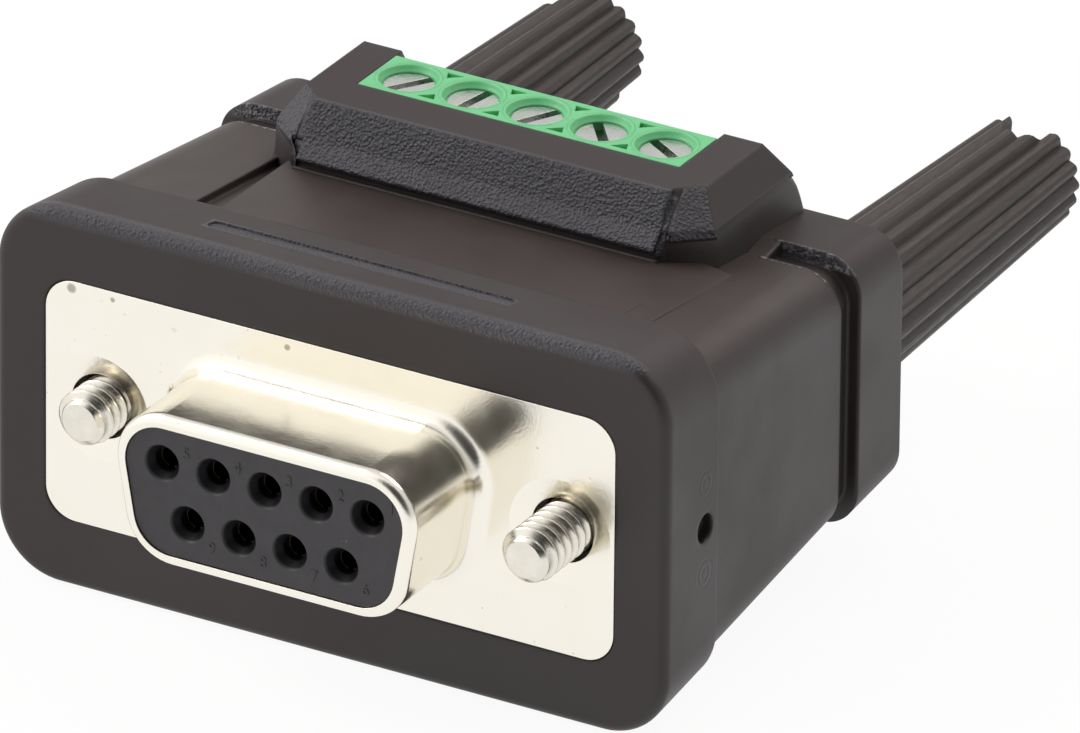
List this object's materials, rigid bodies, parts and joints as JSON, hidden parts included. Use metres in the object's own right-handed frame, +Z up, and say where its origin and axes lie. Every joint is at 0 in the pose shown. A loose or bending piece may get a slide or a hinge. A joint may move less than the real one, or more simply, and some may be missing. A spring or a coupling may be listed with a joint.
{
  "type": "d-sub to screw terminal adapter",
  "caption": "Moulded adapter with a D-subminiature socket in a bezel, a screw terminal block in a hood on top and captive fluted thumbscrews behind.",
  "frame": {"origin": "middle of the part's box, at its bottom", "axes": "+X to the right as seen from the mating side, +Y from the mating side to the thumbscrew knobs, +Z up through the terminal screws"},
  "size_m": [0.0364, 0.0526, 0.0205],
  "materials": {
    "housing_plastic": "satin with fine spark texture on the grip strips",
    "plated_steel": "bright nickel plate",
    "insulator_plastic": "satin",
    "contact_brass": "gold flash",
    "board_laminate": "solder mask",
    "terminal_plastic": "semi-gloss",
    "screw_steel": "zinc plate",
    "cage_steel": "zinc plate",
    "pin_brass": "tinned",
    "shaft_steel": "nickel plate",
    "knob_plastic": "satin",
    "ring_steel": "plain"
  },
  "bodies": {
    "adapter": {"housing": "housing_plastic", "shell_front": "plated_steel", "shell_rear": "plated_steel", "insulator_front": "insulator_plastic", "insulator_rear": "insulator_plastic", "contact_1": "contact_brass", "contact_2": "contact_brass", "contact_3": "contact_brass", "contact_4": "contact_brass", "contact_5": "contact_brass", "contact_6": "contact_brass", "contact_7": "contact_brass", "contact_8": "contact_brass", "contact_9": "contact_brass", "circuit_board": "board_laminate", "terminal_housing": "terminal_plastic", "terminal_pin_1": "pin_brass", "terminal_pin_2": "pin_brass", "terminal_pin_3": "pin_brass", "terminal_pin_4": "pin_brass", "terminal_pin_5": "pin_brass"},
    "ring_left": {"retaining_ring_left": "ring_steel"},
    "ring_right": {"retaining_ring_right": "ring_steel"},
    "thumbscrew_left": {"thumbscrew_shaft_left": "shaft_steel", "thumbscrew_knob_left": "knob_plastic"},
    "thumbscrew_right": {"thumbscrew_shaft_right": "shaft_steel", "thumbscrew_knob_right": "knob_plastic"},
    "screw_1": {"terminal_screw_1": "screw_steel"},
    "screw_2": {"terminal_screw_2": "screw_steel"},
    "screw_3": {"terminal_screw_3": "screw_steel"},
    "screw_4": {"terminal_screw_4": "screw_steel"},
    "screw_5": {"terminal_screw_5": "screw_steel"},
    "cage_1": {"clamp_cage_1": "cage_steel"},
    "cage_2": {"clamp_cage_2": "cage_steel"},
    "cage_3": {"clamp_cage_3": "cage_steel"},
    "cage_4": {"clamp_cage_4": "cage_steel"},
    "cage_5": {"clamp_cage_5": "cage_steel"}
  },
  "joints": [
    {"name": "thumbscrew_left_slide", "type": "slide", "parent": "adapter", "child": "ring_left", "axis": [0, 1, 0], "range_m": [-0.00319, 0.00181]},
    {"name": "thumbscrew_right_slide", "type": "slide", "parent": "adapter", "child": "ring_right", "axis": [0, 1, 0], "range_m": [-0.00161, 0.00339]},
    {"name": "thumbscrew_left_turn", "type": "hinge", "parent": "ring_left", "child": "thumbscrew_left", "pos_m": [-0.01249, -0.00991, 0.0099], "axis": [0, -1, 0], "continuous": true},
    {"name": "thumbscrew_right_turn", "type": "hinge", "parent": "ring_right", "child": "thumbscrew_right", "pos_m": [0.01249, -0.01149, 0.0099], "axis": [0, -1, 0], "continuous": true},
    {"name": "screw_1_turn", "type": "hinge", "parent": "adapter", "child": "screw_1", "pos_m": [-0.007, -0.0011, 0.02021], "axis": [0, 0, -1], "range_deg": [0, 1800]},
    {"name": "screw_2_turn", "type": "hinge", "parent": "adapter", "child": "screw_2", "pos_m": [-0.0035, -0.0011, 0.02021], "axis": [0, 0, -1], "range_deg": [0, 1800]},
    {"name": "screw_3_turn", "type": "hinge", "parent": "adapter", "child": "screw_3", "pos_m": [0, -0.0011, 0.02021], "axis": [0, 0, -1], "range_deg": [0, 1800]},
    {"name": "screw_4_turn", "type": "hinge", "parent": "adapter", "child": "screw_4", "pos_m": [0.0035, -0.0011, 0.02021], "axis": [0, 0, -1], "range_deg": [0, 1800]},
    {"name": "screw_5_turn", "type": "hinge", "parent": "adapter", "child": "screw_5", "pos_m": [0.007, -0.0011, 0.02021], "axis": [0, 0, -1], "range_deg": [0, 1800]},
    {"name": "cage_1_lift", "type": "slide", "parent": "adapter", "child": "cage_1", "axis": [0, 0, 1], "range_m": [0, 0.002]},
    {"name": "cage_2_lift", "type": "slide", "parent": "adapter", "child": "cage_2", "axis": [0, 0, 1], "range_m": [0, 0.002]},
    {"name": "cage_3_lift", "type": "slide", "parent": "adapter", "child": "cage_3", "axis": [0, 0, 1], "range_m": [0, 0.002]},
    {"name": "cage_4_lift", "type": "slide", "parent": "adapter", "child": "cage_4", "axis": [0, 0, 1], "range_m": [0, 0.002]},
    {"name": "cage_5_lift", "type": "slide", "parent": "adapter", "child": "cage_5", "axis": [0, 0, 1], "range_m": [0, 0.002]}
  ],
  "couplings": [
    {"joint": "screw_1_turn", "follows": "cage_1_lift", "rad_per_m": 15708},
    {"joint": "screw_2_turn", "follows": "cage_2_lift", "rad_per_m": 15708},
    {"joint": "screw_3_turn", "follows": "cage_3_lift", "rad_per_m": 15708},
    {"joint": "screw_4_turn", "follows": "cage_4_lift", "rad_per_m": 15708},
    {"joint": "screw_5_turn", "follows": "cage_5_lift", "rad_per_m": 15708}
  ]
}
